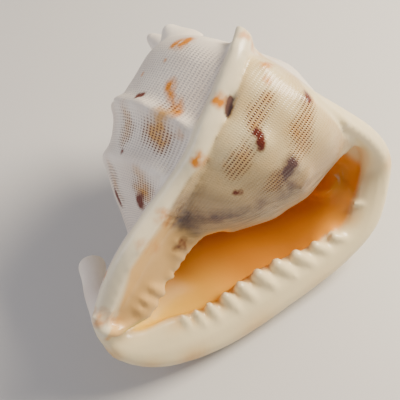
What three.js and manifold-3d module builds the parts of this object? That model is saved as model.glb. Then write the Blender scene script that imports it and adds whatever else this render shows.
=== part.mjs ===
// Horned helmet shell, one grown piece, lying on its rounded back with the mouth turned up.
import * as THREE from "three";
import { mergeVertices } from "three/addons/utils/BufferGeometryUtils.js";
import Module from "manifold-3d";

// Sizes in millimetres, angles in degrees.
// Shell frame while it is shaped: X runs along the coil axis from the canal end to the spire tip,
// Z points to the mouth side and Y to the shield side. Angles go round the axis from Z towards Y.
const spireTip = 150;
const growthStart = 62;
const earlyGrowth = 2.0;
const lateGrowthAround = 1.8;
const lateGrowthAlong = 1.5;
const firstAngle = -76;
const lastAngle = 284;
const wallThickness = 4;
const restRoll = 56;
const restPitch = 23.75;
const restTrim = 1;
const weldDistance = 0.1;

// Whorl profile at the growth start angle, from the spire tip to the neck: [along the axis, radius].
const whorlProfile = [
  [149.6, 1.5], [147.8, 6], [146, 10], [144.4, 14], [142, 19], [139.6, 25], [137, 30], [133.4, 38],
  [128.5, 46], [124, 49], [118, 50.6], [112, 50.4], [106, 49.9], [101, 49.7], [96, 49.2], [91, 48],
  [86, 46.2], [81, 43.8], [75.5, 41.8], [71, 39.2], [66, 35], [61, 29.5], [56, 23.5], [50, 17.5],
  [44, 13], [36, 11.5], [28, 10.5], [20, 9.5],
];
const angleSteps = 48;

// Pointed knobs round the shoulder: [angle, length, base radius, lean towards the spire].
const shoulderKnobs = [
  [122, 9, 8.5, 0.4], [146, 15, 9, 0.1], [171, 11, 8.5, 0.1], [196, 10, 9, 0.1], [221, 10, 9, 0.1],
  [246, 9, 9, 0.1], [270, 8, 9, 0.1],
];
// Low bumps where the glaze covers the cords: [along the axis, left, up, height, base radius].
const glazedBumps = [
  [104, 22.5, 40.6, 1.8, 5.5], [105, 4.7, 45.4, 1.8, 5.5], [129.5, 16, 42, 1.8, 5.5], [131, 37, 28, 3, 5],
];
// Two cords round the body with nodules on them: [along the axis, height]. They fade under the shield.
const cords = [[96, 2.4], [75.5, 0.8]];
const noduleSpacing = 24;
const noduleHeight = 2.2;

// Crest of the raised shield edge, from the shoulder to the canal end.
const shieldCrest = [
  [137, 47, 19], [131, 47.5, 23.5], [125, 47.5, 26.5], [115, 46, 28.5], [105, 44, 30], [96, 43, 31],
  [85, 40, 31], [73, 37.5, 28.5], [58, 37, 27], [44, 37, 27], [32.5, 34.5, 25], [20.6, 29.4, 22],
  [8.4, 21.4, 18], [2.8, 13.2, 15],
];
// Inner edge of the shield along the mouth, matched to the crest points.
const shieldInner = [
  [137, 20, 18], [131, 20, 20], [125, 20, 22], [115, 20, 24], [105, 16, 24], [96, 8, 24],
  [85, 0, 22], [73, -5, 20], [58, 3.5, 20], [44, 3.5, 20], [32.5, 2.5, 20], [20.6, 2.5, 20],
  [8.4, 9, 17], [2.8, 9.5, 14],
];
// Rounded end of the shield, lying on the lip at the canal end.
const tongueLine = [
  [13, 25, 20], [8.4, 20, 19], [8, 14.5, 19], [10, 9, 18.6], [14, 5.2, 18.8], [19.5, 3.6, 19.6],
  [25, 4.5, 19.6],
];
const tongueRadius = 2.2;
// Callus that joins the shield wall to the lip at the spire end of the mouth: its edge, and its upper line.
const cornerEdge = [
  [100, -14, 40], [107, -19, 37.5], [117.9, -24.5, 34], [127.5, -30.8, 30.5], [136.5, -38, 27.5],
];
const cornerTop = [[98, 2, 45], [108, 4, 45.5], [119, 2, 43.5], [130, -4, 39.5], [140, -16, 35]];

// Outer rim and inner edge of the thick lip, from the spire side round to the canal end.
const lipRim = [
  [135, 13, 37.4], [138.4, -10.5, 38], [144.3, -37, 33.6], [145, -59, 30], [139, -72, 28], [119, -87, 26],
  [94, -86, 24], [62, -72.5, 22], [30, -55, 20], [9.6, -37, 18], [-1, -20, 16], [-4, -2.5, 13.4],
  [1.8, 10.4, 11],
];
const lipInner = [
  [128, 10, 37], [132, -11, 34], [137, -38, 27], [136, -52, 22], [129, -62, 20], [107, -71, 21],
  [88, -60.6, 18.2], [63, -42, 16], [38, -29, 15], [22, -14, 15], [12, -5, 14], [8, 2, 11.5], [7.5, 9, 9.5],
];
const lipThickness = 10;
// The whorl wall that closes the mouth at its spire end hangs from the lip.
const skirtDepth = 36;
const mouthDepth = 24;
const gumWidth = 2.2;
const skirtDirection = new THREE.Vector3(-0.35, 0.15, -1).normalize();
// Teeth on the lip: [place from 0 to 1 along the lip, length across the lip, radius].
const lipTeeth = [
  [0.376, 4, 1.4], [0.454, 9, 2.4], [0.495, 12, 2.8], [0.528, 15, 3.2], [0.56, 16, 3.2], [0.589, 16, 3.1],
  [0.615, 15, 2.8], [0.643, 14, 2.6], [0.671, 12, 2.2], [0.694, 10, 1.9], [0.721, 8, 1.7],
];
// Folds along the inner edge of the shield: [along the axis, length, radius].
const columellaFolds = [
  [64.5, 3, 1], [61, 4, 1.1], [57.5, 6, 1.3], [53.5, 8, 1.5], [49, 7, 1.4], [41.5, 4, 1.1], [33, 8, 1.9],
  [27.5, 8, 1.9], [22.5, 7, 1.6],
];

// Centre line and radius of the canal that turns back behind the shield.
const canalLine = [
  [4, 5, 13, 5], [6.5, 7, 8, 6], [10.5, 9.2, 2, 6.4], [14.5, 11.8, -6, 6.4], [18.5, 13.5, -13, 6],
  [21.5, 14.5, -18, 6], [22.6, 14.8, -20, 5], [23.2, 15, -21.2, 2.6],
];

// Outer wall below the lip at the canal end: along the axis, then [left, up] points round the section.
const baseSections = [
  [66, [-44, 12], [-62, 14], [-60, -12], [-44, -36], [-10, -38], [6, -6], [0, 6]],
  [50, [-36, 12], [-55, 13], [-51, -12], [-35, -30], [-5, -29], [7, -5], [0, 6]],
  [35, [-26, 12], [-46, 12], [-41, -8], [-26, -20], [-3, -20], [8, -4], [1, 6]],
  [22, [-14, 12], [-36, 11], [-31, -4], [-18, -12], [0, -13], [9, -3], [2, 6]],
  [10, [-4, 11], [-24, 10], [-20, 1], [-9, -5], [3, -6], [9, 0], [5, 7]],
  [2, [2, 10], [-12, 9], [-10, 4], [-4, 1], [3, 1], [8, 4], [6, 8]],
];
// Trough from the mouth to the canal: [along the axis, shield side, lip side, floor].
const troughLine = [
  [68, -3, -46, -30], [58, 3.5, -40, -22], [48, 4, -35, -17], [39, 3, -30, -12], [30, 1.5, -22, -6],
  [22, 2, -14, 0], [15, 4, -7, 6], [11, 6.5, 0, 10],
];

const wasm = await Module();
wasm.setup();
const degrees = THREE.MathUtils.degToRad;

// Closed solid from a row of sections with equal point counts, capped at both ends.
function solidFromSections(sections) {
  const count = sections[0].length;
  const points = sections.flat().map((p) => p.clone());
  const faces = [];
  for (let i = 0; i + 1 < sections.length; i++) {
    for (let j = 0; j < count; j++) {
      const a = i * count + j;
      const b = i * count + ((j + 1) % count);
      faces.push(a, b, a + count, b, b + count, a + count);
    }
  }
  for (const end of [0, sections.length - 1]) {
    const middle = new THREE.Vector3();
    sections[end].forEach((p) => middle.addScaledVector(p, 1 / count));
    const centre = points.push(middle) - 1;
    for (let j = 0; j < count; j++) {
      const a = end * count + j;
      const b = end * count + ((j + 1) % count);
      if (end) faces.push(a, b, centre);
      else faces.push(b, a, centre);
    }
  }
  const make = () =>
    new wasm.Manifold(
      new wasm.Mesh({
        numProp: 3,
        vertProperties: new Float32Array(points.flatMap((p) => p.toArray())),
        triVerts: new Uint32Array(faces),
      }),
    );
  if (make().volume() < 0) {
    for (let i = 0; i < faces.length; i += 3) [faces[i], faces[i + 1]] = [faces[i + 1], faces[i]];
  }
  return make();
}

function curveThrough(points) {
  return new THREE.CatmullRomCurve3(points.map((p) => new THREE.Vector3(...p)));
}

// Point of the whorl surface for a profile point at an angle round the axis.
function whorlPoint([along, radius], angle, inward = 0) {
  const turn = (angle - growthStart) / 360;
  const late = turn > 0;
  const around = Math.pow(late ? lateGrowthAround : earlyGrowth, turn);
  const axial = Math.pow(late ? lateGrowthAlong : earlyGrowth, turn);
  const share = THREE.MathUtils.smoothstep(along, 20, 70);
  const x = along + share * (spireTip - (spireTip - along) * axial - along);
  const r = radius * (1 + share * (around - 1)) - inward;
  const t = degrees(angle);
  return new THREE.Vector3(x, r * Math.sin(t), r * Math.cos(t));
}

// Coiled body, with nodules on its cords outside the shield
function cordRise(along, angle) {
  const cord = cords.find(([place]) => place === along);
  if (!cord) return 0;
  const bare = THREE.MathUtils.smoothstep(angle, 48, 66);
  const nodule = 0.5 + 0.5 * Math.cos((2 * Math.PI * (angle - growthStart)) / noduleSpacing);
  return cord[1] * (0.1 + 0.9 * bare) + noduleHeight * bare * nodule;
}
const body = solidFromSections(
  whorlProfile.map((p) =>
    Array.from({ length: angleSteps + 1 }, (_, j) => {
      const angle = firstAngle + ((lastAngle - firstAngle) * j) / angleSteps;
      return whorlPoint(p, angle, -cordRise(p[0], angle));
    }),
  ),
);

// Tapered bump with a round tip, standing on a point.
function bump(foot, direction, height, base, sides = 8) {
  const axis = direction.clone().normalize();
  const across = new THREE.Vector3(0.31, 0.47, 0.83).cross(axis).normalize();
  const other = axis.clone().cross(across);
  const rings = [[-0.4, 1.05], [0.15, 0.9], [0.5, 0.5], [0.88, 0.24], [1, 0.08]];
  return solidFromSections(
    rings.map(([h, r]) =>
      Array.from({ length: sides }, (_, j) => {
        const t = (2 * Math.PI * j) / sides;
        return foot
          .clone()
          .addScaledVector(axis, h * height)
          .addScaledVector(across, r * base * Math.cos(t))
          .addScaledVector(other, r * base * Math.sin(t));
      }),
    ),
  );
}

// Knobs
const knobs = [];
for (const [angle, height, base, lean] of shoulderKnobs) {
  const foot = whorlPoint([128.5, 45], angle);
  const t = degrees(angle);
  knobs.push(bump(foot, new THREE.Vector3(lean, Math.sin(t), Math.cos(t)), height, base));
}
for (const [along, left, up, height, base] of glazedBumps) {
  const foot = new THREE.Vector3(along, left, up);
  knobs.push(bump(foot, new THREE.Vector3(0.1, left, up), height, base, 8));
}

// Shield with its raised edge
const crestCurve = curveThrough(shieldCrest);
const innerCurve = curveThrough(shieldInner);
const shieldSteps = 26;
const shield = solidFromSections(
  Array.from({ length: shieldSteps + 1 }, (_, i) => {
    const t = i / shieldSteps;
    const crest = crestCurve.getPoint(t);
    const inner = innerCurve.getPoint(t);
    const outward = new THREE.Vector3(0, crest.y, crest.z).normalize();
    const side = new THREE.Vector3(0, outward.z, -outward.y);
    const at = (a, b) => crest.clone().addScaledVector(side, a).addScaledVector(outward, b);
    const floor = inner.clone().lerp(crest, 0.45);
    floor.z -= 3;
    return [
      at(5.5, -9), at(3.2, -4), at(1.8, -1), at(0, 0), at(-2.2, -0.8), at(-5, -3.4), floor, inner,
      inner.clone().add(new THREE.Vector3(0, 1.5, -5)), new THREE.Vector3(crest.x, 4, -2),
      new THREE.Vector3(crest.x, 9, -5),
    ];
  }),
);

// Round solid along a line of [x, y, z, radius] points
function tube(line, steps, sides) {
  const curve = curveThrough(line.map((p) => p.slice(0, 3)));
  return solidFromSections(
    Array.from({ length: steps + 1 }, (_, i) => {
      const t = i / steps;
      const place = curve.getPoint(t);
      const axis = curve.getTangent(t);
      const across = new THREE.Vector3(0.6, -0.6, 0.5).cross(axis).normalize();
      const other = axis.clone().cross(across);
      const k = Math.min(line.length - 2, Math.floor(t * (line.length - 1)));
      const part = t * (line.length - 1) - k;
      const radius = line[k][3] + (line[k + 1][3] - line[k][3]) * part;
      return Array.from({ length: sides }, (_, j) => {
        const a = (2 * Math.PI * j) / sides;
        return place
          .clone()
          .addScaledVector(across, radius * Math.cos(a))
          .addScaledVector(other, radius * Math.sin(a));
      });
    }),
  );
}
const canal = tube(canalLine, 10, 10);
const tongueRim = tube(tongueLine.map((p) => [...p, tongueRadius]), 9, 7);

// Callus at the spire end of the mouth
const cornerSteps = 6;
const cornerEdgeCurve = curveThrough(cornerEdge);
const cornerTopCurve = curveThrough(cornerTop);
const corner = solidFromSections(
  Array.from({ length: cornerSteps + 1 }, (_, i) => {
    const edge = cornerEdgeCurve.getPoint(i / cornerSteps);
    const top = cornerTopCurve.getPoint(i / cornerSteps);
    const shifted = (p, x, y, z) => p.clone().add(new THREE.Vector3(x, y, z));
    return [
      shifted(top, 0, 0, -2.5), shifted(top.clone().lerp(edge, 0.5), 0.6, 0, 1.6), edge,
      shifted(edge, -1, 4, -5), shifted(edge, -4, 10, -9), shifted(top, -4, 4, -14),
    ];
  }),
);

// Hollow of the last whorl, from the mouth back round the dorsal side
const hollowRows = whorlProfile.filter(([x], i) => x <= 134 && x >= 50 && i % 2);
const hollowAngles = Array.from({ length: 27 }, (_, i) => 300 - i * 13);
const hollow = solidFromSections(
  hollowAngles.map((angle) => {
    const outer = hollowRows.map((p) => whorlPoint(p, angle, wallThickness));
    const inner = hollowRows.map((p) => whorlPoint(p, angle - 360, -1.5)).reverse();
    const loop = [...outer, ...inner];
    const middle = new THREE.Vector3();
    loop.forEach((p) => middle.addScaledVector(p, 1 / loop.length));
    const close = THREE.MathUtils.smoothstep(angle, -60, 10);
    return loop.map((p) => p.clone().lerp(middle, 0.06 + 0.7 * (1 - close)));
  }),
);

// Outer wall below the lip at the canal end
const baseWall = solidFromSections(
  baseSections.map(([along, ...round]) => round.map(([left, up]) => new THREE.Vector3(along, left, up))),
);

// Trough from the mouth down to the canal, between lip and shield
const trough = solidFromSections(
  troughLine.map(([x, shieldSide, lipSide, deep]) => {
    const spot = (y, z) => new THREE.Vector3(x, y, z);
    const middle = (shieldSide + lipSide) / 2;
    return [
      spot(shieldSide, 45), spot(shieldSide, 16), spot(shieldSide - 3, 10), spot(middle, deep),
      spot(lipSide - 4, deep * 0.5 + 5), spot(lipSide - 6, 14), spot(lipSide - 4, 45),
    ];
  }),
);

// Thick outer lip
const rimCurve = curveThrough(lipRim);
const lipCurve = curveThrough(lipInner);
const lipSteps = 37;
function lipFrame(t) {
  const inner = lipCurve.getPoint(t);
  const rim = rimCurve.getPoint(t);
  const across = rim.clone().sub(inner);
  const width = across.length();
  across.normalize();
  const run = lipCurve.getTangent(t);
  const up = run.clone().cross(across).normalize();
  if (up.z < 0) up.negate();
  return { inner, across, up, width };
}
const rising = THREE.MathUtils.smoothstep;
function skirtAt(t, up) {
  const skirt = rising(t, 0.02, 0.14) * (1 - rising(t, 0.34, 0.52));
  return { skirt, skirtWay: up.clone().negate().lerp(skirtDirection, skirt).normalize() };
}
const lip = solidFromSections(
  Array.from({ length: lipSteps + 1 }, (_, i) => {
    const t = i / lipSteps;
    const { inner, across, up, width } = lipFrame(t);
    const { skirt, skirtWay } = skirtAt(t, up);
    const thick = Math.min(lipThickness, width * 0.75) + skirt * (skirtDepth - lipThickness);
    const at = (a, b) => inner.clone().addScaledVector(across, a).addScaledVector(up, b);
    const gum = gumWidth * rising(t, 0.43, 0.48) * (1 - rising(t, 0.68, 0.74));
    return [
      at(gum, 0), at(width * 0.24 + gum / 2, 2.2), at(width * 0.5, 3), at(width * 0.78, 2),
      at(width - 1.2, -0.8), at(width, -3.4), at(width - 1.6, -6.5),
      at(width * 0.78, -4).addScaledVector(skirtWay, thick * 0.6),
      at(width * 0.45, 0).addScaledVector(skirtWay, thick),
      at(width * 0.12, 0).addScaledVector(skirtWay, thick * 0.8),
      at(gum - 0.8, -3),
    ];
  }),
);

// The mouth opens right up to the lip at its spire end
const mouthSteps = 9;
const mouth = solidFromSections(
  Array.from({ length: mouthSteps + 1 }, (_, i) => {
    const t = 0.15 + (0.3 * i) / mouthSteps;
    const { inner, across, up } = lipFrame(t);
    const { skirtWay } = skirtAt(t, up);
    const deep = 2 + mouthDepth * (1 - rising(t, 0.32, 0.44));
    const at = (a, b, c) =>
      inner.clone().addScaledVector(across, a).addScaledVector(up, b).addScaledVector(skirtWay, c);
    return [at(-0.5, 6, 0), at(-0.5, 0, 0), at(-2.5, 0, deep), at(-10, 0, deep), at(-10, 6, 0)];
  }),
);

// Rounded bar for a tooth or a fold
function bar(from, to, radius, up, sides = 6) {
  const axis = to.clone().sub(from);
  const across = axis.clone().cross(up).normalize();
  const rings = [[0, 0.4], [0.14, 0.95], [0.5, 0.95], [1, 0.2]];
  return solidFromSections(
    rings.map(([h, r]) =>
      Array.from({ length: sides }, (_, j) => {
        const t = (2 * Math.PI * j) / sides;
        return from
          .clone()
          .addScaledVector(axis, h)
          .addScaledVector(across, r * radius * Math.cos(t))
          .addScaledVector(up, r * radius * Math.sin(t));
      }),
    ),
  );
}
const teeth = lipTeeth.map(([t, length, radius]) => {
  const { inner, across, up } = lipFrame(t);
  const from = inner.clone().addScaledVector(across, -2).addScaledVector(up, 0.2);
  const to = inner.clone().addScaledVector(across, length).addScaledVector(up, 2.2);
  return bar(from, to, radius, up);
});
// Place on a curve, from 0 to 1, where it passes a point of the axis
function placeAlong(curve, x) {
  let low = 0;
  let high = 1;
  for (let i = 0; i < 30; i++) {
    const middle = (low + high) / 2;
    if (curve.getPoint(middle).x > x) low = middle;
    else high = middle;
  }
  return low;
}
const folds = columellaFolds.map(([x, length, radius]) => {
  const t = placeAlong(innerCurve, x);
  const edge = innerCurve.getPoint(t);
  const inward = crestCurve.getPoint(t).sub(edge).normalize();
  const up = new THREE.Vector3(0, -0.3, 1).normalize();
  const from = edge.clone().addScaledVector(inward, -1.2).addScaledVector(up, -0.4);
  const to = edge.clone().addScaledVector(inward, length).addScaledVector(up, -1.2);
  return bar(from, to, radius, up);
});

// The grown piece
let grown = body;
for (const k of [shield, canal, baseWall]) grown = grown.add(k);
for (const k of [hollow, trough, mouth]) grown = grown.subtract(k);
for (const k of [lip, corner, tongueRim, ...knobs, ...teeth, ...folds]) grown = grown.add(k);

// Resting pose: rolled on to its back, spire end up, with small worn flats where it touches
function geometryOf(solid) {
  const mesh = solid.getMesh();
  const geometry = new THREE.BufferGeometry();
  geometry.setAttribute("position", new THREE.BufferAttribute(new Float32Array(mesh.vertProperties), 3));
  geometry.setIndex(new THREE.BufferAttribute(new Uint32Array(mesh.triVerts), 1));
  return geometry;
}
// Welds points closer than the weld distance and drops the faces that close up.
function welded(geometry) {
  const merged = mergeVertices(geometry, weldDistance);
  const index = merged.index.array;
  const kept = [];
  for (let i = 0; i < index.length; i += 3) {
    const [a, b, c] = [index[i], index[i + 1], index[i + 2]];
    if (a !== b && b !== c && c !== a) kept.push(a, b, c);
  }
  merged.setIndex(kept);
  return merged;
}
const pose = new THREE.Matrix4()
  .makeRotationY(degrees(-restPitch))
  .multiply(new THREE.Matrix4().makeRotationX(degrees(restRoll)));
const posed = geometryOf(grown).applyMatrix4(pose);
posed.computeBoundingBox();
const box = posed.boundingBox;
posed.translate(-(box.min.x + box.max.x) / 2, -(box.min.y + box.max.y) / 2, -box.min.z - restTrim);
const floorBlock = new THREE.BoxGeometry(400, 400, 20).translate(0, 0, -10);
function solidOf(geometry) {
  const plain = geometry.clone();
  plain.deleteAttribute("normal");
  plain.deleteAttribute("uv");
  const merged = mergeVertices(plain, 1e-4);
  return new wasm.Manifold(
    new wasm.Mesh({
      numProp: 3,
      vertProperties: new Float32Array(merged.attributes.position.array),
      triVerts: new Uint32Array(merged.index.array),
    }),
  );
}
const rested = solidOf(posed).subtract(solidOf(floorBlock));

const shellMaterial = new THREE.MeshStandardMaterial({ color: 0xe6d9bd, roughness: 0.4, metalness: 0 });
const shell = new THREE.Mesh(welded(geometryOf(rested)), shellMaterial);
shell.name = "shell";
const helmetShell = new THREE.Group();
helmetShell.name = "helmet_shell";
helmetShell.add(shell);

export default helmetShell;
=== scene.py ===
import math

import bpy
import numpy as np
from mathutils import Matrix, Vector
from mathutils.bvhtree import BVHTree


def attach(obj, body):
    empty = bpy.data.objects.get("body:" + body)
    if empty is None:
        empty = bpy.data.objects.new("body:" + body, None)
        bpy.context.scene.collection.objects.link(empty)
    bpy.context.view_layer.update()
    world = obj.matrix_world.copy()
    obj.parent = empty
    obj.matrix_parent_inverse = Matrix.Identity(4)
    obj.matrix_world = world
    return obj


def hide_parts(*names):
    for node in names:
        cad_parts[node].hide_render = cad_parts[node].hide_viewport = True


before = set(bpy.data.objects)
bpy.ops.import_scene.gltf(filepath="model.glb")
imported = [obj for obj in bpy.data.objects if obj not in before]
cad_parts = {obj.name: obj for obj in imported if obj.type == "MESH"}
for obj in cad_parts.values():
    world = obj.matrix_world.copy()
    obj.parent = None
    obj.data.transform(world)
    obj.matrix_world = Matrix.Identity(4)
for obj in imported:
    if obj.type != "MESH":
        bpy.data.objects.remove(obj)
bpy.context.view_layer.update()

# Shell: one piece of calcium carbonate, grown by a large sea snail as a widening coil.
# The body is matt and pitted, with pointed knobs on the shoulder and two lower cords.
# The shield, its raised edge and the broad toothed lip were laid down last as a glossy glaze.

# Sizes are in mm in the shell's own frame: X along the coil axis from the canal end to the
# spire tip, Z to the mouth side, Y to the shield side, angles in degrees round X from Z to Y.
SPIRE_TIP = 150.0
FIRST_ANGLE = -76
# The whorl's profile, place along the axis and radius, is that of one angle. Up to there the
# shell doubled with each turn, and after it growth was slower.
PROFILE_ANGLE = 62.0
EARLY_GROWTH = 2.0
LATE_GROWTH_AROUND = 1.8
LATE_GROWTH_ALONG = 1.5
WHORL_PROFILE = [
    (149.6, 1.5), (147.8, 6), (146, 10), (144.4, 14), (142, 19), (139.6, 25), (137, 30), (133.4, 38),
    (128.5, 46), (124, 49), (118, 50.6), (112, 50.4), (106, 49.9), (101, 49.7), (96, 49.2), (91, 48),
    (86, 46.2), (81, 43.8), (75.5, 41.8), (71, 39.2), (66, 35), (61, 29.5), (56, 23.5), (50, 17.5),
    (44, 13), (36, 11.5), (28, 10.5), (20, 9.5),
]
PROFILE_ROWS = 136
COIL_ROWS = 301


def spline(points, count):
    """Smooth curve through the points, with equal steps from each point to the next."""
    p = np.asarray(points, float)
    p = np.vstack([2 * p[0] - p[1], p, 2 * p[-1] - p[-2]])
    place = np.linspace(0, len(p) - 3, count)
    first = np.minimum(place.astype(int), len(p) - 4)
    f = (place - first)[:, None]
    a, b, c, d = p[first], p[first + 1], p[first + 2], p[first + 3]
    return b + 0.5 * f * (c - a + f * (2 * a - 5 * b + 4 * c - d + f * (3 * (b - c) + d - a)))


def smoothstep(x, low, high):
    """Share that rises smoothly from 0 at low to 1 at high."""
    f = np.clip((x - low) / (high - low), 0, 1)
    return f * f * (3 - 2 * f)


def fade(distance, reach):
    """Share that falls off softly with distance."""
    return np.exp(-((distance / reach) ** 2))


def growth(angle, late):
    """Growth from the profile's angle to another, with its own rate per turn after it."""
    turn = (angle - PROFILE_ANGLE) / 360
    return np.where(turn > 0, late, EARLY_GROWTH) ** turn


def whorl_point(along, radius, angle):
    """Place along the axis and radius of a profile point at an angle. The canal end stays."""
    share = smoothstep(along, 20, 70)
    x = along + share * (SPIRE_TIP - (SPIRE_TIP - along) * growth(angle, LATE_GROWTH_ALONG) - along)
    r = radius * (1 + share * (growth(angle, LATE_GROWTH_AROUND) - 1))
    return x, r


def polar(x, r, angle):
    """Points from place along the axis, radius and angle."""
    t = np.radians(angle)
    return np.stack(np.broadcast_arrays(x, r * np.sin(t), r * np.cos(t)), -1)


def solid(name, sections):
    """Closed mesh from a row of sections with equal point counts."""
    rows, count, _ = sections.shape
    corners = [tuple(p) for p in sections.reshape(-1, 3)]
    faces = []
    for i in range(rows - 1):
        for j in range(count):
            a, b = i * count + j, i * count + (j + 1) % count
            faces.append((a, b, b + count, a + count))
    for end in (0, rows - 1):
        corners.append(tuple(sections[end].mean(0)))
        for j in range(count):
            a, b = end * count + j, end * count + (j + 1) % count
            faces.append((a, b, len(corners) - 1) if end else (b, a, len(corners) - 1))
    mesh = bpy.data.meshes.new(name)
    mesh.from_pydata(corners, [], faces)
    if sum(f.center.dot(f.normal) * f.area for f in mesh.polygons) < 0:
        mesh.flip_normals()
    form = bpy.data.objects.new(name, mesh)
    bpy.context.collection.objects.link(form)
    return form


# Cords: place along the axis, height, and height of the nodules on them. They lie nearer the
# canal end beside the shield, and its glaze has nearly levelled them.
CORDS = [(96.0, 2.8, 1.6), (75.5, 1.8, 1.3)]
CORD_BREADTH = 3.4
NODULE_STEP = 24


def cord_drop(angle):
    """How much nearer the canal end the cords lie at an angle."""
    return 4 * (1 - smoothstep(angle, 120, 160))


profile = spline(WHORL_PROFILE, PROFILE_ROWS)
coil_angle = np.linspace(FIRST_ANGLE, FIRST_ANGLE + 360, COIL_ROWS)[None, :]
unglazed = smoothstep(coil_angle, 48, 66)
nodules = 0.5 + 0.5 * np.cos(np.radians((coil_angle - PROFILE_ANGLE) * 360 / NODULE_STEP))
coil_x, coil_radius = whorl_point(profile[:, :1], profile[:, 1:], coil_angle)
for cord, height, nodule in CORDS:
    rise = height * (0.1 + 0.9 * unglazed) + nodule * unglazed * nodules
    coil_radius = coil_radius + rise * fade(profile[:, :1] - cord + cord_drop(coil_angle), CORD_BREADTH)
coil = solid("coil", polar(coil_x, coil_radius, coil_angle))

# Shield, from the shoulder to the canal end: the crest of its raised edge, and its inner side
# along the mouth.
SHIELD_ROWS = 131
crest = spline(
    [
        (137, 47, 19), (131, 47.5, 23.5), (125, 47.5, 26.5), (115, 46, 28.5), (105, 44, 30), (96, 43, 31),
        (85, 40, 31), (73, 37.5, 28.5), (58, 37, 27), (44, 37, 27), (32.5, 34.5, 25), (20.6, 29.4, 22),
        (8.4, 21.4, 18), (2.8, 13.2, 15),
    ],
    SHIELD_ROWS,
)
shield_inner = spline(
    [
        (137, 20, 18), (131, 20, 20), (125, 20, 22), (115, 20, 24), (105, 16, 24), (96, 8, 24),
        (85, 0, 22), (73, -5, 20), (58, 3.5, 20), (44, 3.5, 20), (32.5, 2.5, 20), (20.6, 2.5, 20),
        (8.4, 9, 17), (2.8, 9.5, 14),
    ],
    SHIELD_ROWS,
)
# Section of the raised edge from the crest: sideways and outward.
CREST_SECTION = [(5.5, -9), (3.2, -4), (1.8, -1), (0, 0), (-2.2, -0.8), (-5, -3.4)]


def unit(v):
    """Vectors of length 1."""
    return v / np.linalg.norm(v, axis=-1, keepdims=True)


outward = unit(crest * (0, 1, 1))
sideways = np.stack([outward[:, 0], outward[:, 2], -outward[:, 1]], 1)
shield_floor = shield_inner + 0.45 * (crest - shield_inner) - (0, 0, 3)
axis = crest * (1, 0, 0)
shield_lines = [crest + a * sideways + b * outward for a, b in CREST_SECTION]
shield_lines += [shield_floor, shield_inner, shield_inner + (0, 1.5, -5)]
shield_lines += [axis + (0, 4, -2), axis + (0, 9, -5)]
shield = solid("shield", np.stack(shield_lines, 1))


def tube(name, line, radius, sides):
    """Round solid along a line."""
    run = unit(np.gradient(line, axis=0))
    across = unit(np.cross((0.6, -0.6, 0.5), run))
    other = np.cross(run, across)
    t = np.linspace(0, 2 * np.pi, sides, endpoint=False)
    ring = np.cos(t)[None, :, None] * across[:, None] + np.sin(t)[None, :, None] * other[:, None]
    return solid(name, line[:, None] + radius[:, None, None] * ring)


# Rounded end of the shield, lying on the lip at the canal end.
TONGUE_RADIUS = 2.3
tongue = spline(
    [
        (13, 25, 20), (8.4, 20, 19), (8, 14.5, 19), (10, 9, 18.6), (14, 5.2, 18.8), (19.5, 3.6, 19.6),
        (25, 4.5, 19.6),
    ],
    40,
)
tongue_rim = tube("tongue rim", tongue, np.full(len(tongue), TONGUE_RADIUS), 16)

# Callus that joins the shield wall to the lip at the mouth's spire end.
corner_edge = spline(
    [(100, -14, 40), (107, -19, 37.5), (117.9, -24.5, 34), (127.5, -30.8, 30.5), (136.5, -38, 27.5)], 30
)
corner_top = spline([(98, 2, 45), (108, 4, 45.5), (119, 2, 43.5), (130, -4, 39.5), (140, -16, 35)], 30)
corner_lines = [corner_top - (0, 0, 2.5), 0.5 * (corner_top + corner_edge) + (0.6, 0, 1.6), corner_edge]
corner_lines += [corner_edge + (-1, 4, -5), corner_edge + (-4, 10, -9), corner_top - (4, -4, 14)]
corner = solid("corner callus", np.stack(corner_lines, 1))

# Canal that turns back behind the shield: its middle line and radius.
canal_line = spline(
    [
        (4, 5, 13, 5), (6.5, 7, 8, 6), (10.5, 9.2, 2, 6.4), (14.5, 11.8, -6, 6.2), (18.5, 13.5, -13, 5.8),
        (21.5, 14.5, -18, 6.4), (22.8, 14.9, -20.4, 5.6), (23.6, 15.1, -21.8, 2.8),
    ],
    60,
)
canal = tube("canal", canal_line[:, :3], canal_line[:, 3], 32)

# Outer wall below the lip at the canal end.
# Sections across the axis at some places along it, with Y and Z of their corners.
BASE_SECTIONS = {
    66: [(-44, 12), (-62, 14), (-60, -12), (-44, -36), (-10, -38), (6, -6), (0, 6)],
    50: [(-36, 12), (-55, 13), (-51, -12), (-35, -30), (-5, -29), (7, -5), (0, 6)],
    35: [(-26, 12), (-46, 12), (-41, -8), (-26, -20), (-3, -20), (8, -4), (1, 6)],
    22: [(-14, 12), (-36, 11), (-31, -4), (-18, -12), (0, -13), (9, -3), (2, 6)],
    10: [(-4, 11), (-24, 10), (-20, 1), (-9, -5), (3, -6), (9, 0), (5, 7)],
    2: [(2, 10), (-12, 9), (-10, 4), (-4, 1), (3, 1), (8, 4), (6, 8)],
}
base_sections = np.array([[(x, *p) for p in corners] for x, corners in BASE_SECTIONS.items()], float)
base_lines = [spline(base_sections[:, k], 40) for k in range(base_sections.shape[1])]
base_wall = solid("base wall", np.stack(base_lines, 1))

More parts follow.
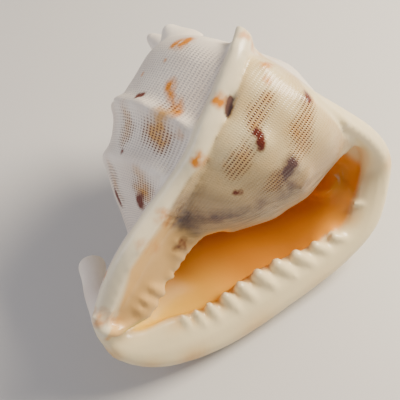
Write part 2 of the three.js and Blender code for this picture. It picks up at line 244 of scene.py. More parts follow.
# Hollow of the last whorl, from the mouth back round the dorsal side. It lies between the wall
# of this whorl and the one before, and narrows towards the mouth, where the trough takes over.
OUTER_WALL = 4
INNER_WALL = 1.5
hollow_profile = profile[(profile[:, 0] <= 134) & (profile[:, 0] >= 50)][::2]
hollow_sections = []
for at in np.arange(300, -45, -4.0):
    outer_x, outer_radius = whorl_point(hollow_profile[:, 0], hollow_profile[:, 1], at)
    inner_x, inner_radius = whorl_point(hollow_profile[:, 0], hollow_profile[:, 1], at - 360)
    outer = polar(outer_x, outer_radius - OUTER_WALL, at)
    inner = polar(inner_x, inner_radius + INNER_WALL, at)[::-1]
    loop = np.vstack([outer, inner])
    narrowing = 0.06 + 0.7 * (1 - smoothstep(at, -60, 10))
    hollow_sections.append(loop + narrowing * (loop.mean(0) - loop))
hollow = solid("hollow", np.array(hollow_sections))

# Trough from the mouth down to the canal: place along the axis, shield side, lip side, floor.
TROUGH_TOP = 45
trough_line = spline(
    [
        (68, -3, -46, -30), (58, 3.5, -40, -22), (48, 4, -35, -17), (39, 3, -30, -12), (30, 1.5, -22, -6),
        (22, 2, -14, 0), (15, 4, -7, 6), (11, 6.5, 0, 10),
    ],
    40,
)
trough_sections = []
for x, shield_side, lip_side, deep in trough_line:
    yz = [(shield_side, TROUGH_TOP), (shield_side, 16), (shield_side - 3, 10)]
    yz += [((shield_side + lip_side) / 2, deep), (lip_side - 4, deep * 0.5 + 5)]
    yz += [(lip_side - 6, 14), (lip_side - 4, TROUGH_TOP)]
    trough_sections.append([(x, *p) for p in yz])
trough = solid("trough", np.array(trough_sections))

# Thick outer lip, from the spire side round to the canal end, with the whorl wall hanging
# from it as a skirt where it closes the mouth at the spire end.
LIP_ROWS = 241
LIP_THICKNESS = 10
SKIRT_DEPTH = 26
SKIRT_WAY = np.array((-0.31, 0.13, -0.94))
GUM_RISE = 2.2
lip_rim = spline(
    [
        (135, 13, 37.4), (138.4, -10.5, 38), (144.3, -37, 33.6), (145, -59, 30), (139, -72, 28),
        (119, -87, 26), (94, -86, 24), (62, -72.5, 22), (30, -55, 20), (9.6, -37, 18), (-1, -20, 16),
        (-4, -2.5, 13.4), (1.8, 10.4, 11),
    ],
    LIP_ROWS,
)
lip_inner = spline(
    [
        (128, 10, 37), (132, -11, 34), (137, -38, 27), (136, -52, 22), (129, -62, 20), (107, -71, 21),
        (88, -60.6, 18.2), (63, -42, 16), (38, -29, 15), (22, -14, 15), (12, -5, 14), (8, 2, 11.5),
        (7.5, 9, 9.5),
    ],
    LIP_ROWS,
)
lip_width = np.linalg.norm(lip_rim - lip_inner, axis=1)
lip_across = unit(lip_rim - lip_inner)
lip_up = unit(np.cross(np.gradient(lip_inner, axis=0), lip_across))
lip_up *= np.sign(lip_up[:, 2:])
lip_place = np.linspace(0, 1, LIP_ROWS)
skirt = smoothstep(lip_place, 0.02, 0.14) * (1 - smoothstep(lip_place, 0.34, 0.52))
skirt_way = unit(-lip_up + skirt[:, None] * (SKIRT_WAY + lip_up))
lip_depth = np.minimum(LIP_THICKNESS, lip_width * 0.75) + skirt * SKIRT_DEPTH
gums = GUM_RISE * smoothstep(lip_place, 0.43, 0.48) * (1 - smoothstep(lip_place, 0.68, 0.74))
# Section of the lip: across from its inner edge, up, and down the skirt as a share of its depth.
lip_section = [
    (gums, 0, 0), (lip_width * 0.24 + gums * 0.5, 2.2, 0), (lip_width * 0.5, 3, 0), (lip_width * 0.78, 2, 0),
    (lip_width - 1.2, -0.8, 0), (lip_width, -3.4, 0), (lip_width - 1.6, -6.5, 0), (lip_width * 0.78, -4, 0.6),
    (lip_width * 0.45, 0, 1), (lip_width * 0.12, 0, 0.8), (gums - 0.8, -3, 0),
]
lip_lines = [
    lip_inner + a[:, None] * lip_across + b * lip_up + (hang * lip_depth)[:, None] * skirt_way
    for a, b, hang in lip_section
]
lip = solid("lip", np.stack(lip_lines, 1))

# The mouth is cut right up to the lip at its spire end.
mouth_rows = (lip_place > 0.15) & (lip_place < 0.45)
mouth_depth = (2 + 24 * (1 - smoothstep(lip_place, 0.32, 0.44)))[:, None]
near = lip_inner - 0.5 * lip_across
far = lip_inner - 10 * lip_across
mouth_lines = [near + 6 * lip_up, near, near - 2 * lip_across + mouth_depth * skirt_way]
mouth_lines += [far + mouth_depth * skirt_way, far + 6 * lip_up]
mouth = solid("mouth", np.stack(mouth_lines, 1)[mouth_rows])


def taper(name, start, finish, radius, shape, sides):
    """Round solid between two points, with a share of the radius at each share of its length."""
    steps, shares = np.array(shape).T
    return tube(name, start + steps[:, None] * (finish - start), radius * shares, sides)


# Knobs of the shoulder: angle, height, radius of the base, lean to the spire.
KNOBS = [
    (122, 9, 10, 0.4), (146, 20, 10.5, 0.1), (171, 12, 10, 0.1), (196, 12, 10.5, 0.1),
    (221, 12, 10.5, 0.1), (246, 11, 10.5, 0.1), (270, 10, 10, 0.1),
]
KNOB_SHAPE = [(-0.5, 1.25), (0, 1), (0.25, 0.76), (0.5, 0.55), (0.75, 0.38), (0.92, 0.26), (1, 0.1)]
KNOB_PLACE = 128.5
KNOB_RADIUS = 44.0
knobs = []
for at, height, base, lean in KNOBS:
    start = polar(*whorl_point(KNOB_PLACE, KNOB_RADIUS, at), at)
    way = unit(polar(lean, 1.0, at))
    knobs.append(taper("knob", start, start + height * way, base, KNOB_SHAPE, 24))

# Teeth of the lip: place along it, length, radius.
TEETH = [
    (0.376, 4, 1.4), (0.454, 9, 2.5), (0.495, 12, 2.9), (0.528, 15, 3.3), (0.56, 16, 3.3), (0.589, 16, 3.2),
    (0.615, 15, 2.8), (0.643, 14, 2.6), (0.671, 12, 2.2), (0.694, 10, 1.9), (0.721, 8, 1.7),
]
TOOTH_SHAPE = [(0, 0.3), (0.04, 0.75), (0.12, 1), (0.3, 1), (0.5, 0.9), (0.75, 0.65), (1, 0.2)]
teeth = []
for at, length, thickness in TEETH:
    row = round(at * (LIP_ROWS - 1))
    start = lip_inner[row] - 2.0 * lip_across[row] + 0.2 * lip_up[row]
    finish = lip_inner[row] + length * lip_across[row] + 2.4 * lip_up[row]
    teeth.append(taper("tooth", start, finish, thickness, TOOTH_SHAPE, 16))

# Folds of the shield's inner side: place along the axis, length, radius.
FOLDS = [
    (72, 3, 1.2), (68.5, 3, 1.3), (65, 4, 1.3), (61.5, 6, 1.5), (57.5, 9, 1.9), (53.5, 11, 2.1),
    (49.5, 9, 1.9), (45, 5, 1.6), (40, 5, 1.6), (32.5, 9, 2.4), (27, 9, 2.4), (22, 8, 2.1),
]
FOLD_SHAPE = [(0, 0.3), (0.05, 0.75), (0.14, 1), (0.3, 1), (0.5, 0.9), (0.75, 0.6), (1, 0.1)]
FOLD_UP = np.array((0, -0.287, 0.958))
folds = []
for at, length, thickness in FOLDS:
    row = np.argmin(np.abs(shield_inner[:, 0] - at))
    way = unit(crest[row] - shield_inner[row])
    start = shield_inner[row] - 1.2 * way - 0.4 * FOLD_UP
    finish = shield_inner[row] + length * way - 1.2 * FOLD_UP
    folds.append(taper("fold", start, finish, thickness, FOLD_SHAPE, 12))


def search_tree(solids):
    """Finds the nearest place on some of the solids."""
    corners, faces = [], []
    for form in solids:
        faces += [[len(corners) + v for v in face.vertices] for face in form.data.polygons]
        corners += [v.co.copy() for v in form.data.vertices]
    return BVHTree.FromPolygons(corners, faces)


# The solids are fused into one surface of faces about 1.25 mm wide.
FACE_WIDTH = 1.25
trees = [search_tree(s) for s in ([hollow, trough, mouth], [lip], [canal], teeth + folds)]
joins = [(form, "UNION") for form in (shield, canal, base_wall)]
joins += [(form, "DIFFERENCE") for form in (hollow, trough, mouth)]
joins += [(form, "UNION") for form in (lip, corner, tongue_rim, *knobs, *teeth, *folds)]
for form, operation in joins:
    join = coil.modifiers.new(form.name, "BOOLEAN")
    join.object = form
    join.operation = operation
    join.solver = "MANIFOLD"
fuse = coil.modifiers.new("fuse", "REMESH")
fuse.mode = "VOXEL"
fuse.voxel_size = FACE_WIDTH
grown = bpy.data.meshes.new_from_object(coil.evaluated_get(bpy.context.evaluated_depsgraph_get()))
for form in [coil, *[form for form, _ in joins]]:
    bpy.data.objects.remove(form)

# Surface points, their neighbours, and how far each lies from the solids it came from.
points = np.empty(len(grown.vertices) * 3)
grown.vertices.foreach_get("co", points)
points = points.reshape(-1, 3)
pairs = np.empty(len(grown.edges) * 2, int)
grown.edges.foreach_get("vertices", pairs)
pairs = pairs.reshape(-1, 2)
neighbours = np.bincount(pairs.ravel(), minlength=len(points))[:, None]
to_mouth, to_lip, to_canal, to_teeth = [
    np.array([tree.find_nearest(p)[3] for p in points]) for tree in trees
]


def touch(distance, reach):
    """Share that is 1 on a form and falls off sharply at the reach."""
    return np.exp(-((distance / reach) ** 4))


def settle(values, share, rounds):
    """Moves values towards the mean of the neighbouring points."""
    for _ in range(rounds):
        around = values[pairs[:, ::-1]].reshape(-1, values.shape[1])
        sums = [np.bincount(pairs.ravel(), column, minlength=len(values)) for column in around.T]
        values = values + share * (np.stack(sums, 1) / neighbours - values)
    return values


# The whole surface is smoothed a little, and the inside of the mouth much more.
inner_skin = touch(to_mouth, 1.6) * smoothstep(to_teeth, 0.8, 2.5) * smoothstep(to_lip, 0.5, 2.5)
points = settle(points, 0.5, 3)
points = settle(points, 0.5 * settle(inner_skin[:, None], 0.5, 6), 60)

# Low bumps where the glaze covers the cords, and the slit it left beside the raised edge:
# place, height, breadth.
GLAZED_BUMPS = [
    ((103.7, 22.5, 41.2), 1.4, 4.0), ((105.3, 4.7, 46.1), 1.6, 4.0), ((129.2, 16, 43.1), 1.4, 4.5),
    ((134.9, -10.8, 38.5), 1.4, 3.5), ((106, -4.5, 45.6), 1.6, 3.2), ((133.2, 35.3, 31), 4.0, 4.5),
    ((110.5, 39, 31.4), -1.6, 1.8), ((107.3, 38, 31.6), -1.8, 1.8), ((104.2, 36.7, 31.7), -1.6, 1.8),
]
for place, height, breadth in GLAZED_BUMPS:
    way = unit(np.array(place) * (0, 1, 1))
    points += height * fade(np.linalg.norm(points - place, axis=1), breadth)[:, None] * way

# Where each point lies: along the axis, angle and radius, place on the profile, and on the lip.
along = points[:, 0]
angle = np.degrees(np.arctan2(points[:, 1], points[:, 2]))
angle = np.where(angle < FIRST_ANGLE, angle + 360, angle)
radius = np.hypot(points[:, 1], points[:, 2])
on_profile = SPIRE_TIP - (SPIRE_TIP - along) / growth(angle, LATE_GROWTH_ALONG)
profile_run = np.append(0, np.cumsum(np.hypot(*np.diff(profile, axis=0).T)))
down_profile = np.interp(-on_profile, -profile[:, 0], profile_run)
lip_middle = 0.5 * (lip_inner + lip_rim)
lip_row = np.concatenate(
    [((some[:, None] - lip_middle) ** 2).sum(2).argmin(1) for some in np.array_split(points, 60)]
)
along_lip = lip_place[lip_row]
across_lip = ((points - lip_inner[lip_row]) * lip_across[lip_row]).sum(1)
above_lip = ((points - lip_inner[lip_row]) * lip_up[lip_row]).sum(1)

# Distances over the surface: past the crest, past the border of the raised edge, and from the
# edge of the shield wall along the mouth. Both lines: angle, place along the axis.
BORDER = np.array([
    (57.5, 130.3), (54, 122.9), (51.4, 115.5), (50.4, 110.9), (48.4, 102.3), (47.2, 92.9), (46.1, 84.1),
    (47.7, 76.4), (47.5, 66.4), (46.7, 56.6), (46.9, 47), (47.1, 35), (42, 20), (36, 8),
])
WALL_EDGE = [
    (-30, 116), (-22, 105.3), (-16.6, 97.7), (-11, 90), (-5.4, 84.3), (-2.5, 76.3), (3.4, 69.8),
    (16.2, 64.1), (33.3, 58.9), (44, 55.6),
]
crest_angle = np.interp(-along, -crest[:, 0], np.degrees(np.arctan2(crest[:, 1], crest[:, 2])))
past_crest = np.radians(angle - crest_angle) * radius
past_border = np.radians(angle - np.interp(-along, -BORDER[:, 1], BORDER[:, 0])) * radius
edge_angle, edge_along = spline(WALL_EDGE, 120).T
from_edge = np.concatenate([
    np.hypot(np.radians(a[:, None] - edge_angle) * r[:, None], x[:, None] - edge_along).min(1)
    for a, r, x in zip(*[np.array_split(values, 40) for values in (angle, radius, along)])
])

# Share of each kind of surface at each point: the inside of the mouth, the lip with its teeth,
# the spire, the bare flank, the raised edge, and the shield wall with its folded end.
lip_face = touch(to_lip, 1.8) * smoothstep(above_lip, -3.0, -0.5)
lip_back = touch(to_lip, 1.8) * (1 - smoothstep(across_lip, 3, 6)) * (1 - smoothstep(to_mouth, 3, 5))
whorl_radius = np.interp(-on_profile, -profile[:, 0], profile[:, 1]) * growth(angle, LATE_GROWTH_AROUND)
sunk = smoothstep(whorl_radius - radius, 2.5, 4.5) * smoothstep(along, 64, 72) * (angle > 75)
inside = np.maximum.reduce([touch(to_mouth, 1.8), lip_back, sunk]) * (1 - lip_face)
inside *= smoothstep(to_teeth, 0.4, 1.6) * (1 - smoothstep(along, 134, 137))
on_tooth = touch(to_teeth, 1.0) * smoothstep(across_lip, -6, -3)
on_lip = np.maximum(touch(to_lip, 2.2), on_tooth) * (1 - inside)
free = (1 - on_lip) * (1 - inside)
spire = smoothstep(along, 134, 139) * (1 - smoothstep(radius, 30, 36))
flank = np.clip(smoothstep(past_crest, 1.0, 4.0) + smoothstep(-angle, 50, 60) + spire, 0, 1) * free
raised = smoothstep(past_border, -0.8, 0.8) * (1 - smoothstep(past_crest, 1.5, 4.0)) * free * (1 - spire)
raised *= smoothstep(140 - along, 0, 4) * smoothstep(60 - np.abs(angle - 30), 0, 10)
wall = (1 - flank) * (1 - raised) * free
folded = wall * (1 - smoothstep(along, 55, 66))

# Shares of what lies on them: a darker brown towards the edge of the wall and creases by it, its golden
# margin, and the gold between the teeth.
above_folds = smoothstep(along, 55, 62)
edge_darkening = wall * fade(from_edge, 24) * above_folds
creased = wall * fade(from_edge, 8) * above_folds
margin = wall * (1 - smoothstep(to_mouth, 1.6, 3.6)) * (1 - smoothstep(from_edge, 6, 9))
margin *= smoothstep(100 - along, 0, 10)
gaps = on_lip * (1 - smoothstep(across_lip, 2, 9)) * smoothstep(to_teeth, 0.1, 1.2)
gaps *= smoothstep(along_lip, 0.36, 0.44) * (1 - smoothstep(along_lip, 0.72, 0.8))

# Colour marks: angle, place along the axis, radius, strength. Those past 125 degrees are on the
# back, and those past 138 mm on the spire.
MARKS = {
    "pitted": [
        (74, 90, 5.5, 0.9), (73, 85.5, 5.5, 0.95), (79, 83, 5.5, 0.6), (70, 82.5, 4.5, 0.6),
        (72, 94, 3.8, 0.7),
        (100, 86.5, 5, 0.55), (96, 81.5, 6, 0.6), (98, 77, 4.5, 0.55), (112, 58, 5, 0.8), (108, 64, 5, 0.4),
        (75.5, 62, 4.5, 0.9), (73, 65, 5, 0.7), (80, 68, 5, 0.4), (38, 118, 3.6, 1.0), (38, 111, 4.2, 1.0),
        (36, 107, 3.4, 0.9), (32.5, 97.7, 4.5, 0.75), (32, 92, 5, 0.7), (31.5, 89, 4.5, 0.6),
        (21.6, 127, 4, 0.9),
        (16.6, 122.3, 4.5, 0.8), (17.4, 115.8, 4.5, 0.9), (12.5, 115, 4.2, 0.85), (5.8, 114.2, 4, 0.65),
        (8, 97.4, 4.5, 0.8), (8, 93.4, 4.5, 0.8), (9, 108, 4, 0.6), (110, 139, 4, 0.8), (170, 140, 4, 0.7),
        (225, 139, 4, 0.8), (275, 140, 4, 0.7), (60, 142, 3, 0.7), (0, 141, 3, 0.7), (140, 92, 5, 0.9),
        (165, 84, 6, 0.8), (150, 60, 5, 0.8), (195, 90, 6, 0.9), (215, 78, 6, 0.7), (185, 58, 5, 0.8),
        (240, 88, 6, 0.9), (225, 50, 6, 0.7), (262, 70, 6, 0.7),
    ],
    "dark": [
        (94.5, 93.4, 2.2, 1.0), (91.5, 95.2, 2.0, 0.9), (94, 71.5, 1.6, 1.0), (118, 54, 2.6, 1.1),
        (115, 56, 2.2, 0.6), (79.5, 58.4, 2.4, 1.1), (76, 60.6, 2.4, 0.8), (33, 105.4, 2.4, 0.9),
        (29.5, 103.6, 2.4, 1.1), (27.5, 101.6, 1.8, 0.7), (20.2, 84.2, 1.5, 1.1), (22.8, 82.8, 1.4, 1.0),
        (23, 130, 2.4, 0.8), (20.5, 128.5, 2.2, 0.8), (28, 55.5, 3.0, 0.6), (22, 53.5, 2.4, 0.55),
        (15, 57, 2.4, 0.5), (30, 51, 2.4, 0.4), (150, 94, 3, 1.1), (180, 74, 3, 1.0), (210, 96, 3, 1.1),
    ],
    "orange": [
        (89.5, 122, 4.4, 1.2), (94, 120, 3, 0.8), (92, 111.6, 1.4, 0.7), (105, 103.8, 1.5, 0.9),
        (80, 103.7, 3.6, 0.8), (76, 100, 3.4, 0.6), (71.7, 97.7, 3.5, 0.9), (67.3, 95.3, 3, 0.7),
        (61, 88.3, 3, 0.4), (70, 86, 5, 0.4), (47.6, 131.1, 2.2, 0.9), (48, 128.3, 2.5, 0.7),
        (43, 123.8, 2.8, 0.75), (17.2, 131, 3, 0.9), (54, 107, 3.6, 1.0), (48.5, 82.9, 2.6, 1.0),
        (48.3, 86, 2.2, 0.6), (48, 59, 4, 0.7), (48, 12, 6, 0.6), (59, 27.5, 2.6, 0.9),
        (47.5, 46.5, 5, 0.45),
        (62, 134, 4, 0.6), (38, 92, 9, 0.28), (130, 118, 5, 0.9), (170, 112, 5, 0.8), (205, 112, 5, 0.9),
        (245, 110, 5, 0.8),
    ],
    "purple": [
        (9.3, 105, 3.4, 1.0), (6, 101, 4, 0.5), (9, 99, 7, 0.35), (0, 99, 6, 0.4), (27, 65.5, 4.5, 0.7),
        (18, 71.8, 4.5, 0.75), (8.5, 77.3, 4.2, 0.7), (3.5, 84.8, 4.2, 0.65), (40.6, 61, 4.5, 0.75),
        (42, 68, 4.5, 0.6), (40, 77.7, 4, 0.35), (-6, 95, 4.5, 0.6), (-12, 103, 4, 0.5),
        # The last three purple marks are painted shade in the slit beside the raised edge.
        (51.2, 110, 1.3, 1.6),
        (50.2, 107.5, 1.4, 1.6), (49.2, 105, 1.3, 1.6),
    ],
}
# Stains on the outer edge of the lip: place along it, strength.
LIP_STAINS = [(0.28, 0.7), (0.53, 0.4), (0.63, 0.7), (0.73, 1.1), (0.82, 0.8), (0.92, 1.0)]
STAIN_LENGTH = 0.03
marks = {}
for name, spots in MARKS.items():
    marks[name] = np.zeros(len(points))
    for at, place, size, strength in spots:
        gap = np.hypot(np.radians(angle - at) * radius, along - place)
        marks[name] += strength * fade(gap, size) * free
stain = sum(strength * fade(along_lip - at, STAIN_LENGTH) for at, strength in LIP_STAINS)
margin += stain * on_lip * smoothstep(across_lip / lip_width[lip_row], 0.4, 0.95)

# Net of pits between growth ribs and threads, strongest on the flank between its cords, faint on
# the shield wall. A rib every 2.1 degrees is 1.8 mm on the flank; the threads' step grows with it.
RIB_STEP = 2.1
THREAD_STEP = 1.0
on_cords = sum(fade(on_profile - cord + cord_drop(angle), CORD_BREADTH) for cord, _, _ in CORDS) * flank
netted = flank * (1 - 0.85 * np.clip(on_cords, 0, 1)) * smoothstep(to_canal, 1, 4)
netted *= 1 - smoothstep(on_profile, 119, 126)
netted += 0.3 * (wall - folded) + 0.8 * marks["pitted"] * wall

# Chalky where bare, glassy where glazed, and between the two inside the mouth.
GLAZED_ROUGHNESS = 0.28
BARE_ROUGHNESS = 0.52
bareness = np.clip(flank + 0.5 * inside, 0, 1)

# The material reads these values of the surface points. A streak is 1.6 mm broad and 14 mm long.
STREAK_BREADTH = 1.6
STREAK_LENGTH = 14
surface = {
    "flank": flank, "raised": raised, "folded": folded, "lip": on_lip, "inside": inside,
    "edge_darkening": edge_darkening, "margin": margin, "gaps": gaps, **marks,
    "canal end": smoothstep(70 - along, 0, 55),
    "ribs": 2 * np.pi * angle / RIB_STEP,
    "threads": 2 * np.pi * down_profile / THREAD_STEP,
    "netted": np.clip(netted, 0, 1),
    "over streaks": from_edge / STREAK_BREADTH,
    "along streaks": along / STREAK_LENGTH,
    "streaked": np.maximum(creased, 0.35 * edge_darkening),
    "roughness": GLAZED_ROUGHNESS + (BARE_ROUGHNESS - GLAZED_ROUGHNESS) * bareness,
}
for name, values in surface.items():
    grown.attributes.new(name, "FLOAT", "POINT").data.foreach_set("value", values)

# Seam of the whorls on the spire.
SEAM_GROWTH = 1.9
SEAM_RADIUS = 26
SEAM_DEPTH = 1.1
SEAM_BREADTH = 1.3
spiral = np.log(radius / SEAM_RADIUS) / np.log(SEAM_GROWTH) - (angle - PROFILE_ANGLE) / 360
from_seam = np.abs(spiral - np.round(spiral)) * radius * np.log(SEAM_GROWTH)
spire_top = smoothstep(along, 128, 134) * (1 - smoothstep(radius, 28, 34)) * free
points[:, 0] -= SEAM_DEPTH * spire_top * fade(from_seam, SEAM_BREADTH)

# Groove beside the raised edge.
GROOVE_DEPTH = 0.9
GROOVE_BREADTH = 1.2
groove = GROOVE_DEPTH * fade(past_border, GROOVE_BREADTH) * free
groove *= smoothstep(along, 58, 66) * smoothstep(132 - along, 0, 6)
points -= groove[:, None] * unit(points * (0, 1, 1))

# Resting pose: rolled on to its back, spire end up.
RESTING_TURN = Matrix.Rotation(math.radians(-23.75), 4, "Y") @ Matrix.Rotation(math.radians(56), 4, "X")
RESTING = Matrix.Translation((-72.4157, 1.2511, 28.2405)) @ RESTING_TURN
grown.vertices.foreach_set("co", points.ravel())
grown.transform(Matrix.Scale(0.001, 4) @ RESTING)
for v in grown.vertices:
    v.co.z = max(v.co.z, 0)
grown.shade_smooth()
shell = bpy.data.objects.new("shell_surface", grown)
bpy.context.collection.objects.link(shell)


def linear(hex_colour):
    """Linear RGBA of an sRGB hex colour."""
    values = [int(hex_colour[k : k + 2], 16) / 255 for k in (1, 3, 5)]
    return [v / 12.92 if v <= 0.04045 else ((v + 0.055) / 1.055) ** 2.4 for v in values] + [1]


# Aragonite, the mineral of the shell, grown in layers: pale and chalky on the flank, a glassy
# cream glaze on the shield and the lip, orange and half glossy inside the mouth.
aragonite = bpy.data.materials.new("aragonite")
aragonite.use_nodes = True
nodes = aragonite.node_tree.nodes
links = aragonite.node_tree.links
skin = nodes["Principled BSDF"]


def add(kind, inputs, output=0, **settings):
    """Adds a node with its settings, input values and links, and returns one output."""
    new = nodes.new(kind)
    for name, value in settings.items():
        setattr(new, name, value)
    for socket, value in inputs.items():
        if isinstance(value, bpy.types.NodeSocket):
            links.new(value, new.inputs[socket])
        else:
            new.inputs[socket].default_value = value
    return new.outputs[output]


# Patterns, with the real size of their patches in mm and their detail: chalky grain, ragged
# edges of the marks, clouds of paler colour, and the wander of ribs and threads.
PATTERNS = {"grain": (3.85, 4), "ragged": (4.76, 2), "cloud": (22.2, 4), "wander": (6.67, 2)}
shell_place = add("ShaderNodeTexCoord", {}, "Object")
noise = {}
for name, (size, detail) in PATTERNS.items():
    settings = {"Vector": shell_place, "Scale": 1000 / size, "Detail": detail}
    noise[name] = add("ShaderNodeTexNoise", settings)
at_point = {name: add("ShaderNodeAttribute", {}, "Fac", attribute_name=name) for name in surface}
# A Map Range node takes a value, its range, and the new range, which is 0 to 1 if not given.
ragged = add("ShaderNodeMapRange", {0: noise["ragged"], 1: 0.25, 2: 0.75, 3: 0.35, 4: 1.65})
cloud = add("ShaderNodeMapRange", {0: noise["cloud"], 1: 0.3, 2: 0.7})

# Pits lie where the hollows between ribs and threads cross.
WANDER = 3.0
wave, hollowed = {}, {}
for name in ("ribs", "threads"):
    phase = {0: noise["wander"], 1: WANDER, 2: at_point[name]}
    wandering = add("ShaderNodeMath", phase, operation="MULTIPLY_ADD")
    wave[name] = add("ShaderNodeMath", {0: wandering}, operation="SINE")
    hollowed[name] = add("ShaderNodeMath", {0: 1.0, 1: wave[name]}, operation="SUBTRACT")
pit = add("ShaderNodeMath", {0: hollowed["ribs"], 1: hollowed["threads"]}, operation="MULTIPLY")
pit = add("ShaderNodeMapRange", {0: pit, 1: 0.5, 2: 2.6})
pit = add("ShaderNodeMath", {0: pit, 1: at_point["netted"]}, operation="MULTIPLY")

# Dark creases run along the edge of the shield wall.
streak_place = add("ShaderNodeCombineXYZ", {0: at_point["over streaks"], 1: at_point["along streaks"]})
streak = add("ShaderNodeTexNoise", {"Vector": streak_place, "Scale": 1.0, "Detail": 4.0})
streak = add("ShaderNodeMapRange", {0: streak, 1: 0.45, 2: 0.75})
streak = add("ShaderNodeMath", {0: streak, 1: at_point["streaked"]}, operation="MULTIPLY")

# Marks with ragged edges: the values at which each starts and is full.
worn = {}
for name, mark, start, full in [
    ("orange", "orange", 0.25, 1.0), ("stained", "pitted", 0.3, 1.9), ("pitted", "pitted", 0.15, 0.55),
    ("purple", "purple", 0.2, 1.1), ("dark", "dark", 0.3, 0.95),
]:
    uneven = add("ShaderNodeMath", {0: at_point[mark], 1: ragged}, operation="MULTIPLY")
    worn[name] = add("ShaderNodeMapRange", {0: uneven, 1: start, 2: full})
# The brown marks are darkest in the pits: their own brown, with painted shade in the hollows.
brown_and_shade_in_pits = add("ShaderNodeMath", {0: worn["pitted"], 1: pit}, operation="MULTIPLY")

# Clouded colours, each from two, by a share: the flank, the shield wall, and the mouth from deep
# inside to the canal end. A Mix node of colours has them in its inputs 6 and 7.
clouded = {}
for name, share, one, other in [
    ("flank", cloud, "#E6D6C4", "#FCF3E2"), ("wall", cloud, "#DAB26C", "#F4E0AE"),
    ("mouth", at_point["canal end"], "#F0A02C", "#FFD65A"),
]:
    colours = {0: share, 6: linear(one), 7: linear(other)}
    clouded[name] = add("ShaderNodeMix", colours, 2, data_type="RGBA")
# The pits of the flank are painted a darker grey: painted shade in the hollows of the net.
PIT_SHADE = 0.42
pit_share = add("ShaderNodeMath", {0: pit, 1: PIT_SHADE}, operation="MULTIPLY")
pit_shaded_flank = {0: pit_share, 6: clouded["flank"], 7: linear("#978A8A")}
flank_colour = add("ShaderNodeMix", pit_shaded_flank, 2, data_type="RGBA")

# Layers over the shield wall, from the lowest up: share, strength, colour.
colour = clouded["wall"]
for share, strength, layer in [
    (at_point["flank"], 1.0, flank_colour),
    # Darker brown towards the edge of the wall.
    (at_point["edge_darkening"], 0.85, linear("#AE8F6C")),
    (at_point["folded"], 0.85, linear("#EDBB70")),
    (at_point["raised"], 0.85, linear("#F7ECCC")),
    (at_point["lip"], 1.0, linear("#F9E7B8")),
    (at_point["gaps"], 0.7, linear("#E3AE52")),
    (worn["orange"], 1.0, linear("#D88418")),
    (worn["stained"], 1.0, linear("#DDA75E")),
    (brown_and_shade_in_pits, 1.0, linear("#5A2410")),
    (worn["purple"], 1.0, linear("#644A46")),
    (streak, 0.85, linear("#543A2E")),
    (worn["dark"], 1.0, linear("#6A2A18")),
    (at_point["margin"], 0.9, linear("#E5B05E")),
    (at_point["inside"], 1.0, clouded["mouth"]),
]:
    layer_share = add("ShaderNodeMath", {0: share, 1: strength}, operation="MULTIPLY")
    colour = add("ShaderNodeMix", {0: layer_share, 6: colour, 7: layer}, 2, data_type="RGBA")

# Relief of ribs, pits, grain and creases, where a height of 1 stands for 0.3 mm.
RELIEF_DEPTH = 0.0003
relief = add("ShaderNodeMath", {0: wave["ribs"], 1: at_point["netted"]}, operation="MULTIPLY")
relief = add("ShaderNodeMath", {0: relief, 1: 0.3}, operation="MULTIPLY")
for form, height in [(pit, -1.0), (noise["grain"], 0.4), (streak, -1.5)]:
    relief = add("ShaderNodeMath", {0: form, 1: height, 2: relief}, operation="MULTIPLY_ADD")
bump = add("ShaderNodeBump", {"Strength": 0.6, "Distance": RELIEF_DEPTH, "Height": relief})
skin.inputs["IOR"].default_value = 1.55
links.new(colour, skin.inputs["Base Color"])
links.new(at_point["roughness"], skin.inputs["Roughness"])
links.new(bump, skin.inputs["Normal"])
grown.materials.clear()
grown.materials.append(aragonite)
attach(shell, "root")
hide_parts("shell")

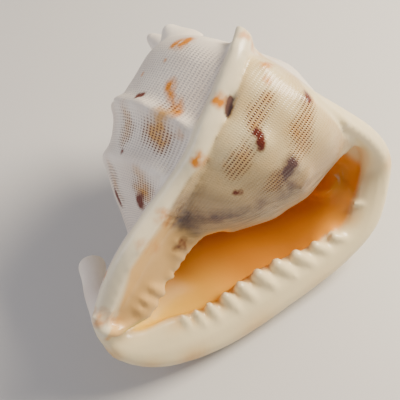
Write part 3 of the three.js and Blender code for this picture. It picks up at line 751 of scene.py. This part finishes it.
# Floor: a wide sheet of pale matt paper that the shell lies on.
# It is flat and plain, so that it shows the shell's shadow and nothing else.
FLOOR_REACH = 3
floor_mesh = bpy.data.meshes.new("floor")
floor_corners = [(x * FLOOR_REACH, y * FLOOR_REACH, 0) for x, y in [(-1, -1), (1, -1), (1, 1), (-1, 1)]]
floor_mesh.from_pydata(floor_corners, [], [(0, 1, 2, 3)])
floor = bpy.data.objects.new("floor", floor_mesh)
bpy.context.collection.objects.link(floor)
# Pale paper: matt and even, slightly warm.
paper = bpy.data.materials.new("pale paper")
paper.use_nodes = True
paper.node_tree.nodes["Principled BSDF"].inputs["Base Color"].default_value = linear("#D2D0CC")
floor_mesh.materials.append(paper)

# Light: a warm soft lamp above and to the right of the view, and a weak cool one to its left.
# Both are square panels at one distance from the shell, and pale surroundings fill the shadows.
SURROUNDINGS = 0.25
LAMP_DISTANCE = 0.8
world = bpy.data.worlds.new("studio")
world.use_nodes = True
world.node_tree.nodes["Background"].inputs["Color"].default_value = (1, 1, 1, 1)
world.node_tree.nodes["Background"].inputs["Strength"].default_value = SURROUNDINGS
bpy.context.scene.world = world
VIEW_AXES = [(0.5662, -0.6319, 0.5292), (0.8228, 0.4718, -0.3170), (-0.0494, 0.6149, 0.7870)]
right, up, back = [RESTING.to_3x3() @ Vector(view_axis) for view_axis in VIEW_AXES]
for name, way, size, power, tint in [
    ("window", right * 0.75 + up * 0.75 + back * 0.5, 0.35, 14, "#FFF1DC"),
    ("fill", right * -0.9 + up * 0.1 + back * 0.7, 0.6, 2.8, "#F0EEFF"),
]:
    light = bpy.data.lights.new(name, "AREA")
    light.size = size
    light.energy = power
    light.color = linear(tint)[:3]
    lamp = bpy.data.objects.new(name, light)
    bpy.context.collection.objects.link(lamp)
    lamp.location = way.normalized() * LAMP_DISTANCE
    lamp.rotation_euler = way.to_track_quat("Z", "Y").to_euler()

# Camera: stands where the photograph was taken from, above the mouth side of the shell.
# Its place is given in the shell's own frame, in mm.
FIELD_OF_VIEW = 38
CAMERA_PLACE = Vector((61.65, 161.71, 208.15))
camera_data = bpy.data.cameras.new("camera")
camera_data.angle = math.radians(FIELD_OF_VIEW)
camera_data.clip_start = 0.01
camera = bpy.data.objects.new("camera", camera_data)
bpy.context.collection.objects.link(camera)
camera_turn = Matrix((right, up, back)).transposed().to_4x4()
camera.matrix_world = Matrix.Translation(RESTING @ CAMERA_PLACE * 0.001) @ camera_turn
bpy.context.scene.camera = camera
